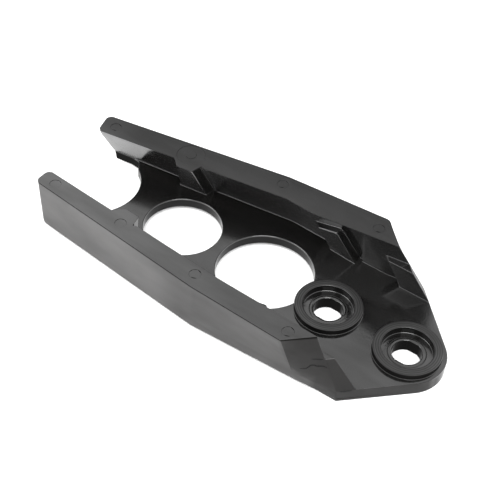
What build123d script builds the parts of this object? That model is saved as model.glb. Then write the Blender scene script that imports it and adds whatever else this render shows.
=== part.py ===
from build123d import *
from math import cos, radians, sin, sqrt
import os

# Chain slider: one moulded channel. Two rails stand on a web, spread from an open
# mouth towards a tab, and end in slanted faces above the tab's 45 degree flanks.
# X runs along the line of the two bolt slots towards the tab's tip, Z points up.
# The origin is midway between the slots, on the seat face under them.
# Lengths across the part are counted outwards from the X axis on either side.

# Heights
seat_thickness = 7.1       # web under the bolts, from the seat face
web_thickness = 5.1        # web elsewhere, flush with it on top
rail_rise = 20.7           # rails above the web

# Bolt slots, each in a raised and counterbored boss
bolt_spacing = 42.0
slot_length = 14.0
slot_width = 13.2
boss_diameter = 32.0
boss_height = 2.8
recess_diameter = 24.0
recess_depth = 3.6
race_margin = 1.8          # raised rim round each slot, in the recess
race_height = 0.4

# Tab
tab_radius = 18.2          # round tip, about the outer slot
tab_half_width = 38.6
seat_start_x = -7.5        # where the seat pad begins at its two corners
seat_reach = 18.0          # the pad's radius about the inner slot
seat_inset = 0.4

# Windows in the web and the mouth between the rails
hole_1_x, hole_1_y, hole_1_diameter = -106.7, 1.4, 38.9
hole_2_x, hole_2_y, hole_2_diameter = -57.8, 1.5, 47.4
mouth_x, mouth_radius = -162.6, 23.9
web_start_x = -158.4       # beyond it the rails have no web between them

# Left rail, on the +Y side: outer and inner edges of its top face
left_start_x, left_start_y = -173.0, 25.2
left_bend_x, left_bend_y = -74.0, 44.0
left_end_x, left_end_y = -20.0, 48.6
left_start_wall = 12.3
left_start_skew = 3.4      # how far the inner corner of its mouth end lies back
left_start_lean = 4.2      # how far that end leans back towards its foot
left_inner_bend_x, left_bend_wall = -66.5, 14.6
left_shoulder_x, left_shoulder_wall = -51.5, 16.5
left_end_wall = 13.0
left_start_foot = 1.4      # wall at the web by the mouth, then at the pillar and so on
left_pillar_foot = 4.8
left_bend_foot = 6.5
left_shoulder_foot = 8.3
left_buttress_foot = 10.4
left_slot_foot, left_end_foot = 12.4, 14.0

# Right rail, on the -Y side
right_start_x, right_start_y = -168.3, 34.3
right_bend_x, right_bend_y = -68.0, 43.6
right_end_x, right_end_y = -19.0, 45.0
right_start_wall = 9.6
right_start_skew = 0.0
right_start_lean = 1.5
right_inner_bend_x, right_bend_wall = -62.0, 11.7
right_end_wall = 11.6
right_start_foot = 4.6
right_pillar_foot = 5.6
right_bend_foot = 6.4
right_buttress_foot = 8.4
right_slot_foot, right_end_foot = 9.8, 10.2

# Slanted rail ends and the toe walls that carry them down to the tab
foot_x = -12.0             # lower outer corner of the slanted end
left_foot_out = 5.6        # that corner, beyond the tab's half width
right_foot_out = 2.0
toe_height = 12.3
toe_y = 32.4               # inner face of the toe wall
toe_foot_x, toe_top_x = -1.6, -10.0
toe_step = 3.0             # 45 degree face between a rail's inner face and its toe

# Pillars and buttresses on the rails' inner faces
pillar_x = -119.0
pillar_rise = 5.0          # how far pillars stand in from the rails' inner faces
pillar_curve_start, pillar_curve_end, pillar_corner = -9.5, -1.5, 5.3     # along the top, from pillar_x
pillar_foot_start, pillar_foot_end, pillar_foot_corner = -10.0, -6.6, 7.6
pillar_side = 1.2          # run of a pillar's steep side
groove_width, groove_depth = 2.4, 0.9
buttress_foot_x, buttress_foot_width = -34.0, 14.5
buttress_top_x, buttress_top_width = -41.5, 10.1
buttress_rise = 4.0
ledge_height, ledge_tilt = 16.5, 13.0
slot_gap, slot_gap_depth = 2.4, 1.2       # narrow slot between a buttress and the wall behind it

# Marks on the rails' top faces
mark_diameter, mark_depth = 5.5, 0.15
disc_x, disc_y, disc_diameter = -121.6, 27.0, 14.0
left_marks = [(-164.0, 20.3), (-73.9, 37.8), (-21.1, 40.5)]
right_marks = [(-159.2, 30.3), (-117.8, 31.7), (-71.0, 36.3), (-19.1, 38.7)]

# Edges
corner_radius = 3.0        # upright corners of the rails' ends
start_radius = 4.0         # lower corner of their mouth ends

web_top = seat_thickness
web_bottom = seat_thickness - web_thickness
rail_top = web_top + rail_rise
slot_x = bolt_spacing / 2
flank = slot_x + tab_radius * sqrt(2)      # x + y along the tab's 45 degree flanks
corner_x = flank - tab_half_width


def along(t, start, end):
    """The point at the fraction t of the way from start to end."""
    return tuple(a + (b - a) * t for a, b in zip(start, end))


def edge_y(line, x):
    """The y of a bent edge at x."""
    start, end = line[0], line[1]
    for start, end in zip(line, line[1:]):
        if x <= end[0]:
            break
    return start[1] + (end[1] - start[1]) * (x - start[0]) / (end[0] - start[0])


def plate(corners, side, height, rounded=()):
    """Flat outline from its corners, on the given side of the X axis, some of them rounded."""
    with BuildSketch(Plane.XY.offset(height)) as face:
        with BuildLine():
            Polyline(*[(x, side * y) for x, y in corners], close=True)
        make_face()
        for corner in rounded:
            x, y = corners[corner]
            fillet(face.vertices().sort_by_distance((x, side * y, 0))[0], corner_radius)
    return face.sketch


def foot_line(outer, walls):
    """Inner edge of a rail's foot, from the wall that is left at each x."""
    return [(x, edge_y(outer, x) - wall) for x, wall in walls]


# Outer and inner edges of both top faces
left_outer = [(left_start_x, left_start_y), (left_bend_x, left_bend_y), (left_end_x, left_end_y)]
left_inner = [
    (left_start_x + left_start_skew, left_start_y - left_start_wall),
    (left_inner_bend_x, edge_y(left_outer, left_inner_bend_x) - left_bend_wall),
    (left_shoulder_x, edge_y(left_outer, left_shoulder_x) - left_shoulder_wall),
    (left_end_x + left_end_wall, left_end_y - left_end_wall),
]
right_outer = [(right_start_x, right_start_y), (right_bend_x, right_bend_y), (right_end_x, right_end_y)]
right_inner = [
    (right_start_x + right_start_skew, right_start_y - right_start_wall),
    (right_inner_bend_x, edge_y(right_outer, right_inner_bend_x) - right_bend_wall),
    (right_end_x + right_end_wall, right_end_y - right_end_wall),
]


left_foot = foot_line(left_outer, [
    (left_start_x - 2, left_start_foot), (pillar_x, left_pillar_foot), (left_inner_bend_x, left_bend_foot),
    (left_shoulder_x, left_shoulder_foot), (buttress_foot_x, left_buttress_foot),
    (buttress_foot_x + buttress_foot_width / 2 + slot_gap, left_slot_foot), (left_inner[-1][0], left_end_foot),
])
right_foot = foot_line(right_outer, [
    (right_start_x - 2, right_start_foot), (pillar_x, right_pillar_foot), (right_inner_bend_x, right_bend_foot),
    (buttress_foot_x, right_buttress_foot),
    (buttress_foot_x + buttress_foot_width / 2 + slot_gap, right_slot_foot), (right_inner[-1][0], right_end_foot),
])


def rail(side, outer, inner, lean, foot_out, rounded):
    """One rail at its full width, from its foot to its top face."""
    start, bend, end = outer
    web_level = rail_rise / (rail_rise + web_thickness)
    top = [start, bend, end, *reversed(inner)]
    foot = [
        (start[0] + lean, edge_y(outer, start[0] + lean)), bend, (foot_x, tab_half_width + foot_out),
        (corner_x, tab_half_width), *reversed(inner[1:-1]),
        (inner[0][0] + lean, edge_y(inner, inner[0][0] + lean)),
    ]
    middle = [along(web_level, a, b) for a, b in zip(top, foot)]
    middle[3] = foot[3]
    levels = ((foot, web_bottom), (middle, web_top), (top, rail_top))
    return loft([plate(corners, side, height, rounded) for corners, height in levels], ruled=True)


def relief(side, inner, foot):
    """Wedge that thins a rail towards its foot."""
    quads = []
    for x, foot_y in foot:
        top_y = edge_y(inner, x)
        with BuildSketch(Plane(origin=(x, 0, 0), x_dir=(0, 1, 0), z_dir=(1, 0, 0))) as quad:
            with BuildLine():
                Polyline(
                    (side * top_y, rail_top), (side * foot_y, web_top),
                    (side * (top_y - 3), web_top), (side * (top_y - 3), rail_top), close=True,
                )
            make_face()
        quads.append(quad.sketch)
    return loft(quads, ruled=True)


def toe(side, inner):
    """Low wall whose slanted end joins a rail's end to the tab's flank."""
    reach = along(1 - toe_height / rail_rise, inner[-1], (corner_x, tab_half_width))
    levels = []
    for x, back in ((toe_foot_x, (corner_x, tab_half_width)), (toe_top_x, reach)):
        levels.append([
            (x - toe_step, toe_y + toe_step), (x, toe_y), (sum(back) - toe_y, toe_y), back,
            (x - toe_step, back[1]),
        ])
    return loft([plate(levels[0], side, web_top), plate(levels[1], side, web_top + toe_height)], ruled=True)


def pillar(side, inner, foot):
    """Blunt post on a rail's inner face, leaning with it, one side of it blended in a curve."""
    sections = []
    for line, height, start, end, corner in (
        (foot, web_top, pillar_foot_start, pillar_foot_end, pillar_foot_corner),
        (inner, rail_top, pillar_curve_start, pillar_curve_end, pillar_corner),
    ):
        run = edge_y(line, pillar_x + corner) - edge_y(line, pillar_x + start)
        lie = (corner - start, side * run)
        points = []
        for x, rise in ((start, -0.4), (end, pillar_rise), (corner, pillar_rise), (corner + pillar_side, -0.4)):
            points.append((pillar_x + x, side * (edge_y(line, pillar_x + x) - rise)))
        with BuildSketch(Plane.XY.offset(height)) as face:
            with BuildLine():
                Spline(points[0], points[1], tangents=[lie, lie])
                Polyline(
                    *points[1:], (points[3][0], points[3][1] + 2 * side),
                    (points[0][0], points[0][1] + 2 * side), points[0],
                )
            make_face()
        sections.append(face.sketch)
    return loft(sections, ruled=True)


def groove(side, inner, foot):
    """V groove that sets a pillar's steep side off from the rail."""
    sections = []
    for line, height, corner in ((foot, web_top, pillar_foot_corner), (inner, rail_top, pillar_corner)):
        x = pillar_x + corner + pillar_side
        sections.append(plate([
            (x - 0.2, edge_y(line, x) - 1), (x + 0.2, edge_y(line, x) + groove_depth),
            (x + groove_width, edge_y(line, x + groove_width) - 0.2), (x + groove_width, edge_y(line, x) - 1),
        ], side, height))
    return loft(sections, ruled=True)


def buttress(side, inner, foot):
    """Rib that leans along a rail's inner face and ends in a sloped ledge."""
    left = buttress_foot_x - buttress_foot_width / 2
    right = buttress_foot_x + buttress_foot_width / 2
    front = [edge_y(foot, left) - buttress_rise, edge_y(foot, right) - buttress_rise]
    base = plate([
        (left, front[0]), (right, front[1]), (right, front[1] + buttress_rise + 2),
        (left - buttress_rise - 2, front[0] + buttress_rise + 2),
    ], side, web_top)
    half = buttress_top_width / 2
    wall_y = edge_y(foot, buttress_top_x) + (
        edge_y(inner, buttress_top_x) - edge_y(foot, buttress_top_x)) * ledge_height / rail_rise
    tilt = radians(ledge_tilt)
    ledge_plane = Plane(
        origin=(buttress_top_x, 0, web_top + ledge_height),
        x_dir=(cos(tilt), 0, sin(tilt)), z_dir=(-sin(tilt), 0, cos(tilt)),
    )
    with BuildSketch(ledge_plane) as ledge:
        with BuildLine():
            Polyline(
                (-half, side * (wall_y - buttress_rise)), (half, side * (wall_y - buttress_rise)),
                (half, side * (wall_y + 2)), (-half - buttress_rise - 2, side * (wall_y + 2)), close=True,
            )
        make_face()
    return loft([base, ledge.sketch], ruled=True)


def gap(side, inner, foot):
    """Narrow slot between a buttress and the wall that carries on to the tab."""
    x = buttress_foot_x + buttress_foot_width / 2
    slant = (buttress_foot_x - buttress_top_x + (buttress_foot_width - buttress_top_width) / 2) / ledge_height
    top_x = x - slant * rail_rise
    wide = slot_gap + rail_rise * slant / 4
    low = [(x - 2, edge_y(foot, x) - 4), (x - 2, edge_y(foot, x) + slot_gap_depth),
           (x + slot_gap, edge_y(foot, x) + slot_gap_depth), (x + slot_gap, edge_y(foot, x) - 4)]
    high = [(top_x - 2, edge_y(inner, top_x) - 4), (top_x - 2, edge_y(inner, top_x - 2) - 0.4),
            (top_x + wide, edge_y(inner, top_x + wide) - 0.4), (top_x + wide, edge_y(inner, top_x) - 4)]
    return loft([plate(low, side, web_top), plate(high, side, rail_top)], ruled=True)


def start_corner(side, x, lean):
    """What the rounded lower corner of a rail's mouth end leaves out."""
    face_x = x + lean * (1 - start_radius / (rail_rise + web_thickness))
    with BuildSketch(Plane.XZ) as corner:
        with Locations((face_x + start_radius, web_bottom + start_radius)):
            Rectangle(start_radius + 3, start_radius + 1, align=(Align.MAX, Align.MAX))
            Circle(start_radius, mode=Mode.SUBTRACT)
    return extrude(corner.sketch, amount=-side * 2 * mouth_radius)


with BuildPart() as chain_slider:
    # Web: under both rails, out to the tab's flanks and round tip
    tip = tab_radius / sqrt(2)
    with BuildSketch(Plane.XY.offset(web_bottom)):
        with BuildLine():
            Polyline(
                (slot_x + tip, tip), (corner_x, tab_half_width), (foot_x, tab_half_width),
                (left_bend_x, left_bend_y - 2), (left_start_x + left_start_lean, left_start_y - 2),
                (right_start_x + right_start_lean, -right_start_y + 2), (right_bend_x, -right_bend_y + 2),
                (foot_x, -tab_half_width), (corner_x, -tab_half_width), (slot_x + tip, -tip),
            )
            ThreePointArc((slot_x + tip, -tip), (slot_x + tab_radius, 0), (slot_x + tip, tip))
        make_face()
    extrude(amount=web_thickness)

    # Seat pad under the bolts
    with BuildSketch():
        with Locations((-slot_x, 0)):
            Circle(seat_reach)
        with Locations((slot_x, 0)):
            Circle(tab_radius)
        with Locations((corner_x, 0)):
            Rectangle(corner_x - seat_start_x, 2 * (tab_half_width - seat_inset), align=(Align.MAX, Align.CENTER))
        make_hull()
    extrude(amount=seat_thickness)

    # Rails, thinned towards their foot, with what stands against them
    add(rail(1, left_outer, left_inner, left_start_lean, left_foot_out, (0, -1, 2)))
    add(rail(-1, right_outer, right_inner, right_start_lean, right_foot_out, (0, -1)))
    for side, inner, foot in ((1, left_inner, left_foot), (-1, right_inner, right_foot)):
        add(relief(side, inner, foot), mode=Mode.SUBTRACT)
        add(gap(side, inner, foot), mode=Mode.SUBTRACT)
        add(groove(side, inner, foot), mode=Mode.SUBTRACT)
        add(pillar(side, inner, foot))
        add(buttress(side, inner, foot))
        add(toe(side, inner))

    # Bosses round the slots
    with BuildSketch(Plane.XY.offset(web_top)):
        with GridLocations(bolt_spacing, 0, 2, 1):
            Circle(boss_diameter / 2)
    extrude(amount=boss_height)

    # Windows, and the mouth, which takes the web from between the rails' ends
    with BuildSketch():
        with Locations((mouth_x, 0)):
            Circle(mouth_radius)
            Rectangle(mouth_radius, 1.7 * mouth_radius, align=(Align.MAX, Align.CENTER))
        with Locations((hole_1_x, hole_1_y)):
            Circle(hole_1_diameter / 2)
        with Locations((hole_2_x, hole_2_y)):
            Circle(hole_2_diameter / 2)
        for side, foot in ((1, left_foot), (-1, right_foot)):
            with BuildLine():
                Polyline(
                    (foot[0][0] - 4, 0), (foot[0][0] - 4, side * foot[0][1]), (foot[0][0], side * foot[0][1]),
                    (web_start_x, side * edge_y(foot, web_start_x)),
                    (mouth_x + 0.39 * mouth_radius, side * 1.045 * mouth_radius),
                    (mouth_x + 0.56 * mouth_radius, side * 0.8 * mouth_radius), (mouth_x, 0), close=True,
                )
            make_face()
    extrude(amount=web_top, mode=Mode.SUBTRACT)
    for side, x, lean in ((1, left_start_x, left_start_lean), (-1, right_start_x, right_start_lean)):
        add(start_corner(side, x, lean), mode=Mode.SUBTRACT)

    # Recesses and slots
    with BuildSketch(Plane.XY.offset(web_top + boss_height)):
        with GridLocations(bolt_spacing, 0, 2, 1):
            Circle(recess_diameter / 2)
    extrude(amount=-recess_depth, mode=Mode.SUBTRACT)
    with BuildSketch(Plane.XY.offset(web_top + boss_height - recess_depth)):
        with GridLocations(bolt_spacing, 0, 2, 1):
            Circle(slot_length / 2 + race_margin)
    extrude(amount=race_height)
    with BuildSketch():
        with GridLocations(bolt_spacing, 0, 2, 1):
            Circle(slot_length / 2)
        Rectangle(2 * bolt_spacing, slot_width, mode=Mode.INTERSECT)
    extrude(amount=rail_top, mode=Mode.SUBTRACT)

    # Shallow marks on top of the rails
    with BuildSketch(Plane.XY.offset(rail_top)):
        with Locations(*left_marks, *[(x, -y) for x, y in right_marks]):
            Circle(mark_diameter / 2)
        with Locations((disc_x, disc_y)):
            Circle(disc_diameter / 2)
            Circle(mark_diameter / 2, mode=Mode.SUBTRACT)
    extrude(amount=-mark_depth, mode=Mode.SUBTRACT)

chain_slider.part.label = "chain_slider"
os.makedirs("parts", exist_ok=True)
export_step(chain_slider.part, "parts/chain_slider.step")
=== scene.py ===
from math import cos, pi, radians, sin

import bmesh
import bpy
from mathutils import Matrix, Vector
from mathutils.bvhtree import BVHTree


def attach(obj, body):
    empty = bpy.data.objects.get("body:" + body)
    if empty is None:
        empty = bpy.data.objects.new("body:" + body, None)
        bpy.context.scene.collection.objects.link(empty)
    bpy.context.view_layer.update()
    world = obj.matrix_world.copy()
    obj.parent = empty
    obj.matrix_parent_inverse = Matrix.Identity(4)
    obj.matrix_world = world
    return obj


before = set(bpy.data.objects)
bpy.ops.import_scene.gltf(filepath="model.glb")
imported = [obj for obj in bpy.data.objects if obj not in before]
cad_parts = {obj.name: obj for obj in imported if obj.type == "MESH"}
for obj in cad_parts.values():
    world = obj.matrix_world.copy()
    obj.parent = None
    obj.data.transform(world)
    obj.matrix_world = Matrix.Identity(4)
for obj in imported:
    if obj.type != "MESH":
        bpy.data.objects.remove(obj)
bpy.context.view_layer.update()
MM = 0.001

# The photograph's viewpoint: right, up and forward axes, and the eye, in the part's frame
EYE = Vector((0.14658, -0.33470, 0.41677))
RIGHT = Vector((0.81407, 0.57848, 0.05150))
UP = Vector((-0.44122, 0.55835, 0.70255))
FORWARD = Vector((-0.37765, 0.59464, -0.70977))
SENSOR_WIDTH = 36.0
LENS = 86.4

# The moulding's own measures that its plastic and its rounded edges follow
RAIL_TOP = 27.8 * MM
BOLT_OFFSET = 21.0 * MM
BOSS_REACH = (16.3 * MM, 16.6 * MM)
ROUNDING = 0.36 * MM
TOP_ROUNDING_SHARE = 0.3
SHARP_EDGE = radians(24)
WELD_DISTANCE = 0.02 * MM

# The plastic: roughness in the channel and on the worn faces, the tops' share of the reflection,
# and the turned rings of the bosses in radians per metre
GLOSS = 0.11
MATT = 0.40
TOP_LEVEL = 0.95
TURNED_RINGS = 6000.0

# Flash: the spacing of its cross-sections and the number of their corners
FLASH_STEP = 0.6 * MM
FLASH_SIDES = 6

# Studio
FLOOR_HALF = 3.0
FLOOR_Z = -0.2 * MM
FLAG_Y = 0.15
WORLD_STRENGTH = 1.3
PART_MIDDLE = Vector((-0.06, 0.0, 0.0))


def put(name, data):
    item = bpy.data.objects.new(name, data)
    bpy.context.collection.objects.link(item)
    return item


cam_data = bpy.data.cameras.new("camera")
cam_data.sensor_width = SENSOR_WIDTH
cam_data.lens = LENS
cam_data.clip_start = 0.01
camera = put("camera", cam_data)
pose = Matrix((RIGHT, UP, -FORWARD)).transposed().to_4x4()
pose.translation = EYE
camera.matrix_world = pose
bpy.context.scene.camera = camera


def new_material(name):
    mat = bpy.data.materials.new(name)
    mat.use_nodes = True
    tree = mat.node_tree
    return mat, tree, tree.nodes["Principled BSDF"]


def plain_material(name, shade, roughness, specular):
    mat, _, shader = new_material(name)
    shader.inputs["Base Color"].default_value = (shade, shade, shade, 1)
    shader.inputs["Roughness"].default_value = roughness
    shader.inputs["Specular IOR Level"].default_value = specular
    return mat


def add(tree, kind, **values):
    node = tree.nodes.new(kind)
    for key, value in values.items():
        if key in node.inputs:
            node.inputs[key].default_value = value
        else:
            setattr(node, key, value)
    return node


def split(tree, vector):
    node = add(tree, "ShaderNodeSeparateXYZ")
    tree.links.new(vector, node.inputs[0])
    return node.outputs


def noise(tree, coords, scale, detail, roughness, stretch=(1.0, 1.0, 1.0), turn=0.0):
    mapping = add(tree, "ShaderNodeMapping", Scale=stretch, Rotation=(0.0, 0.0, turn))
    tree.links.new(coords, mapping.inputs["Vector"])
    tex = add(tree, "ShaderNodeTexNoise", Scale=scale, Detail=detail, Roughness=roughness)
    tree.links.new(mapping.outputs[0], tex.inputs["Vector"])
    return tex.outputs["Fac"]


# The value's run from low to high, turned into a run from to_low to to_high and held beyond it
def remap(tree, value, low, high, to_low=0.0, to_high=1.0):
    node = add(tree, "ShaderNodeMapRange")
    node.inputs["From Min"].default_value = low
    node.inputs["From Max"].default_value = high
    node.inputs["To Min"].default_value = to_low
    node.inputs["To Max"].default_value = to_high
    tree.links.new(value, node.inputs["Value"])
    return node.outputs[0]


# One operation on one value or two, or in turn on more
def maths(tree, kind, first, *others):
    for other in others or (0.0,):
        node = add(tree, "ShaderNodeMath", operation=kind)
        for socket, value in zip(node.inputs, (first, other)):
            if isinstance(value, (int, float)):
                socket.default_value = value
            else:
                tree.links.new(value, socket)
        first = node.outputs[0]
    return first


# Moulded black plastic: glossy inside the channel, more matt on the worn outer faces and on top
def moulded_plastic():
    mat, tree, shader = new_material("moulded_plastic")
    coords = add(tree, "ShaderNodeTexCoord").outputs["Object"]
    place = split(tree, coords)
    facing = split(tree, add(tree, "ShaderNodeNewGeometry").outputs["Normal"])

    def times(*values):
        return maths(tree, "MULTIPLY", *values)

    def plus(*values):
        return maths(tree, "ADD", *values)

    def minus(a, b):
        return maths(tree, "SUBTRACT", a, b)

    # A run along one axis of the part, its ends in millimetres
    def along(axis, start, end, at_start=0.0, at_end=1.0):
        return remap(tree, place[axis], start * MM, end * MM, at_start, at_end)

    # One number off the mask and another on it
    def choose(mask, off, on):
        return remap(tree, mask, 0.0, 1.0, off, on)

    def blend(a, b, share):
        return plus(a, times(minus(b, a), share))

    # Masks of the rails: worn outer faces, tops, sloped ends, and the edges below and round the tops.
    # The sloped ends, their low flank and these edges take painted shade further down
    outward = times(facing["Y"], maths(tree, "SIGN", place["Y"]))
    outer = remap(tree, outward, 0.25, 0.45)
    top = along("Z", 27.2, 27.6)
    dull = maths(tree, "MAXIMUM", outer, top)
    sloped = remap(tree, facing["X"], 0.10, 0.22)
    ends = times(outer, maths(tree, "MAXIMUM", sloped, along("X", -6, -2)))
    flank = times(ends, along("Z", 6.6, 7.0, 1.0, 0.0))
    edge = times(outer, along("Z", 27.0, 27.3))
    flatness = maths(tree, "ABSOLUTE", facing["Z"])
    rim = times(remap(tree, flatness, 0.9, 0.97, 1.0, 0.0), along("Z", 27.62, 27.65))

    # Masks round the bolts, of the bosses' faces, the bores and openings, the mouth and the near
    # rail. The walls round the bolts, the bores, the mouth and the near rail's inner walls take
    # painted shade further down
    upright = remap(tree, flatness, 0.35, 0.6, 1.0, 0.0)
    past_bolt = minus(maths(tree, "ABSOLUTE", place["X"]), BOLT_OFFSET)
    to_bolt = plus(times(past_bolt, past_bolt), times(place["Y"], place["Y"]))
    to_bolt = maths(tree, "POWER", to_bolt, 0.5)
    near_bolts = remap(tree, to_bolt, *BOSS_REACH, 1.0, 0.0)
    walls = times(upright, near_bolts)
    boss = times(along("Z", 9.4, 9.7), along("Z", 10.0, 10.2, 1.0, 0.0), near_bolts)
    bores = times(upright, along("Z", 6.4, 6.7, 1.0, 0.0), choose(outer, 1.0, 0.0))
    inner = times(upright, choose(dull, 1.0, 0.0))
    mouth = times(inner, along("X", -150, -140, 1.0, 0.0))
    near = times(inner, along("Y", -20, -15, 1.0, 0.0))

    blotch = noise(tree, coords, 28.0, 4.0, 0.6)
    flow = noise(tree, coords, 60.0, 3.0, 0.55, stretch=(0.35, 1.4, 1.0), turn=radians(12))
    grain = noise(tree, coords, 1500.0, 2.0, 0.5)
    cloud = noise(tree, coords, 20.0, 2.0, 0.5, stretch=(1.0, 1.0, 0.6))

    ramp = add(tree, "ShaderNodeValToRGB")
    ramp.color_ramp.elements[0].position = 0.3
    ramp.color_ramp.elements[0].color = (0.0028, 0.0028, 0.0028, 1)
    ramp.color_ramp.elements[1].position = 0.75
    ramp.color_ramp.elements[1].color = (0.0050, 0.0048, 0.0046, 1)
    tree.links.new(flow, ramp.inputs[0])
    tree.links.new(ramp.outputs[0], shader.inputs["Base Color"])

    rough = plus(choose(dull, GLOSS, MATT), remap(tree, blotch, 0.3, 0.7, -0.03, 0.04),
                 remap(tree, flow, 0.3, 0.7, -0.02, 0.03), choose(boss, 0.0, 0.2))
    mouth_wear = times(minus(1.0, dull), along("X", -130, -50, 0.06, 0.0))
    tree.links.new(plus(rough, mouth_wear), shader.inputs["Roughness"])

    # The outer faces reflect a little warmer
    tint = add(tree, "ShaderNodeCombineColor", Red=1.0)
    tree.links.new(choose(outer, 1.0, 0.98), tint.inputs["Green"])
    tree.links.new(choose(outer, 1.0, 0.975), tint.inputs["Blue"])
    tree.links.new(tint.outputs[0], shader.inputs["Specular Tint"])

    # Reflection: painted shade on the sloped ends, faint turned rings on the bosses, then each mask's
    # share: duller bosses' faces, and painted shade on the boss and recess walls, below the outer top
    # edges, round the marks on the tops, in the bores, on the inner walls at the mouth and along the
    # near rail, and low on the ends
    level = minus(choose(top, 1.0, TOP_LEVEL), choose(ends, 0.0, 0.45))
    rings = times(maths(tree, "SINE", times(to_bolt, TURNED_RINGS)), 0.35)
    level = times(level, blend(1.0, plus(rings, 1.0), boss))
    for mask, share in ((boss, 0.75), (walls, 0.12), (edge, 0.1), (rim, 0.05), (bores, 0.12),
                        (mouth, 0.2), (near, 0.4), (flank, 0.72)):
        level = times(level, choose(mask, 1.0, share))

    # Scuffs all over, clouds on the outer faces, and painted shade darkening their lower part, most
    # towards the mouth
    scuffs = remap(tree, flow, 0.35, 0.7, 0.16, -0.20)
    clouds = times(outer, remap(tree, cloud, 0.35, 0.65, -0.20, 0.12))
    low_shade = times(outer, along("Z", 1, 16, -0.28, 0.0), along("X", -120, -60, 1.0, 0.3))
    level = times(level, plus(scuffs, clouds, low_shade, 1.0))

    # Painted shade: the reflection dimmer towards the tab, most of all on the outer faces and on top
    tab_shade = times(along("X", -170, 0, 0.0, 0.28), choose(dull, 0.2, 1.0))
    level = times(level, minus(1.0, tab_shade))

    # Painted light on the rail tops: bright at the near mouth end, dark at the far one, even towards
    # the bolts.
    # Painted shade on the outer faces: dimmer towards the tab
    painted_top_light = blend(along("Y", -20, 20, 1.6, 0.58), 1.42, along("X", -150, -60))
    level = times(level, blend(1.0, painted_top_light, top))
    painted_outer_shade = along("X", -160, -50, 1.04, 0.76)
    level = times(level, blend(1.0, painted_outer_shade, outer))
    tree.links.new(level, shader.inputs["Specular IOR Level"])

    bump = add(tree, "ShaderNodeBump", Strength=0.12, Distance=0.3 * MM)
    tree.links.new(plus(times(grain, 0.25), flow), bump.inputs["Height"])
    tree.links.new(bump.outputs[0], shader.inputs["Normal"])
    return mat


# Geometry nodes with one mesh in and one out, and the position of each of its points
def geometry_group(name):
    group = bpy.data.node_groups.new(name, "GeometryNodeTree")
    for way in ("INPUT", "OUTPUT"):
        group.interface.new_socket("Geometry", in_out=way, socket_type="NodeSocketGeometry")
    place = split(group, add(group, "GeometryNodeInputPosition").outputs[0])
    mesh_in = add(group, "NodeGroupInput").outputs[0]
    mesh_out = add(group, "NodeGroupOutput").inputs[0]
    return group, place, mesh_in, mesh_out


# Rounding of each sharp edge: slight along the rail tops, none just below them, full elsewhere
def edge_widths():
    group, place, mesh_in, mesh_out = geometry_group("edge_widths")
    angle = add(group, "GeometryNodeInputMeshEdgeAngle").outputs["Unsigned Angle"]
    sharp = maths(group, "GREATER_THAN", angle, SHARP_EDGE)
    low = maths(group, "LESS_THAN", place["Z"], RAIL_TOP - 0.3 * MM)
    high = maths(group, "GREATER_THAN", place["Z"], RAIL_TOP - 0.05 * MM)
    share = maths(group, "ADD", low, maths(group, "MULTIPLY", high, TOP_ROUNDING_SHARE))
    store = add(group, "GeometryNodeStoreNamedAttribute", data_type="FLOAT", domain="EDGE")
    store.inputs["Name"].default_value = "bevel_weight_edge"
    group.links.new(mesh_in, store.inputs["Geometry"])
    group.links.new(maths(group, "MULTIPLY", sharp, share), store.inputs["Value"])
    group.links.new(store.outputs[0], mesh_out)
    return group


# The rounding never rises above the rail tops
def level_tops():
    group, place, mesh_in, mesh_out = geometry_group("level_tops")
    spot = add(group, "ShaderNodeCombineXYZ")
    group.links.new(place["X"], spot.inputs["X"])
    group.links.new(place["Y"], spot.inputs["Y"])
    group.links.new(maths(group, "MINIMUM", place["Z"], RAIL_TOP), spot.inputs["Z"])
    move = add(group, "GeometryNodeSetPosition")
    group.links.new(mesh_in, move.inputs["Geometry"])
    group.links.new(spot.outputs[0], move.inputs["Position"])
    group.links.new(move.outputs[0], mesh_out)
    return group


plastic = moulded_plastic()
widths = edge_widths()
tops = level_tops()
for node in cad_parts.values():
    node.data.materials.clear()
    node.data.materials.append(plastic)

    weld = node.modifiers.new("weld", "WELD")
    weld.merge_threshold = WELD_DISTANCE
    node.modifiers.new("edge_widths", "NODES").node_group = widths
    soften = node.modifiers.new("soft_edges", "BEVEL")
    soften.limit_method = "WEIGHT"
    soften.width = ROUNDING
    soften.loop_slide = False
    soften.segments = 2
    soften.use_clamp_overlap = False
    node.modifiers.new("level_tops", "NODES").node_group = tops
    flats = node.modifiers.new("flats", "WEIGHTED_NORMAL")
    flats.weight = 100


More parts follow.
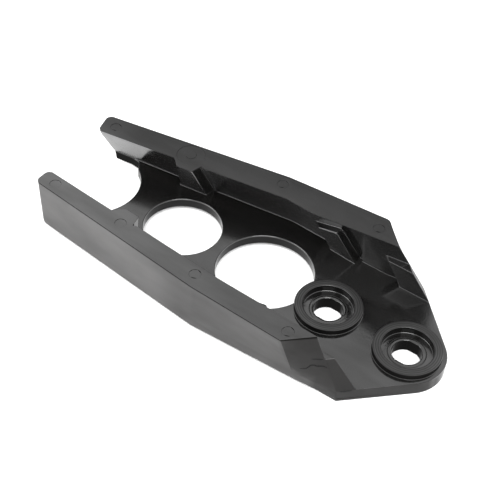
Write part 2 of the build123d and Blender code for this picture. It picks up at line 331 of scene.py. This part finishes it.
# Ragged flash left along the parting line, pressed onto the moulding's surface
def flash(name, points, width):
    points = [Vector(point) * MM for point in points]
    path = []
    for start, end in zip(points, points[1:]):
        steps = max(2, int((end - start).length / FLASH_STEP))
        path += [start.lerp(end, i / steps) for i in range(steps)]
    path.append(points[-1])

    verts = []
    last = len(path) - 1
    for i, spot in enumerate(path):
        spot, normal, _, _ = surface.find_nearest(spot)
        heading = (path[min(i + 1, last)] - path[max(i - 1, 0)]).normalized()
        side = heading.cross(normal).normalized()
        taper = sin(pi * (i + 0.6) / (len(path) + 0.2)) ** 0.5
        ragged = 0.75 + 0.5 * abs(sin(1.7 * i))
        size = width * MM * taper * ragged
        for k in range(FLASH_SIDES):
            turn = 2 * pi * k / FLASH_SIDES
            verts.append(spot + (side * cos(turn) + normal * sin(turn)) * size)

    faces = []
    for ring in range(0, last * FLASH_SIDES, FLASH_SIDES):
        for k in range(FLASH_SIDES):
            following = (k + 1) % FLASH_SIDES
            faces.append((ring + k, ring + following,
                          ring + FLASH_SIDES + following, ring + FLASH_SIDES + k))
    faces.append(tuple(range(FLASH_SIDES)))
    faces.append(tuple(range(len(verts) - FLASH_SIDES, len(verts))))
    mesh = bpy.data.meshes.new(name)
    mesh.from_pydata(verts, [], faces)
    edit = bmesh.new()
    edit.from_mesh(mesh)
    bmesh.ops.recalc_face_normals(edit, faces=edit.faces)
    edit.to_mesh(mesh)
    edit.free()
    mesh.materials.append(dark_flash)
    piece = put(name, mesh)
    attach(piece, "root")


dark_flash = plain_material("dark_flash", 0.003, 0.5, 0.15)
body = next(iter(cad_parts.values())).data
surface = BVHTree.FromPolygons([v.co for v in body.vertices], [p.vertices for p in body.polygons])
flash("end_face_flash", [(-10.0, -41.2, 11.6), (-7.0, -40.2, 13.3), (-5.7, -39.3, 15.4),
                         (-4.5, -38.7, 16.0), (-3.3, -38.3, 15.7), (-0.8, -37.1, 16.4),
                         (1.1, -36.5, 15.9)], 0.27)
flash("end_face_mark", [(-6.3, -38.5, 18.5), (-4.2, -37.2, 18.8), (-1.9, -36.1, 19.1)], 0.17)
flash("tab_edge_flash", [(9.0, -37.8, 6.9), (11.0, -35.8, 6.7), (13.0, -33.8, 6.9)], 0.35)


# Flat piece of the set round the part
def sheet(name, corners, material):
    mesh = bpy.data.meshes.new(name)
    mesh.from_pydata(corners, [], [tuple(range(len(corners)))])
    mesh.materials.append(material)
    return put(name, mesh)


floor_corners = [(x * FLOOR_HALF, y * FLOOR_HALF, FLOOR_Z)
                 for x, y in ((-1, -1), (1, -1), (1, 1), (-1, 1))]
floor = sheet("floor", floor_corners, plain_material("studio_floor", 0.92, 0.9, 0.5))

# Dark flag behind the part, hidden from the camera, for the glossy web to reflect
flag_outline = [(-0.26, 0.06), (-0.022, 0.06), (-0.024, 0.165), (-0.058, 0.195), (-0.10, 0.187),
                (-0.17, 0.168), (-0.26, 0.168)]
flag = sheet("flag", [(x, FLAG_Y, z) for x, z in flag_outline],
             plain_material("dark_flag", 0.005, 1.0, 0.0))
flag.visible_camera = False

world = bpy.data.worlds.new("studio")
world.use_nodes = True
background = world.node_tree.nodes["Background"]
background.inputs["Color"].default_value = (1, 1, 1, 1)
background.inputs["Strength"].default_value = WORLD_STRENGTH
bpy.context.scene.world = world


# Square softbox turned towards the middle of the part
def softbox(name, centre, size, power):
    data = bpy.data.lights.new(name, "AREA")
    data.size = size
    data.energy = power
    light = put(name, data)
    light.location = centre
    light.rotation_euler = (PART_MIDDLE - Vector(centre)).to_track_quat("-Z", "Y").to_euler()


softbox("key", (0.35, -0.5, 0.9), 0.7, 14.0)
softbox("fill", (-0.6, -0.5, 0.7), 0.6, 6.0)

bpy.context.scene.view_settings.view_transform = "Standard"
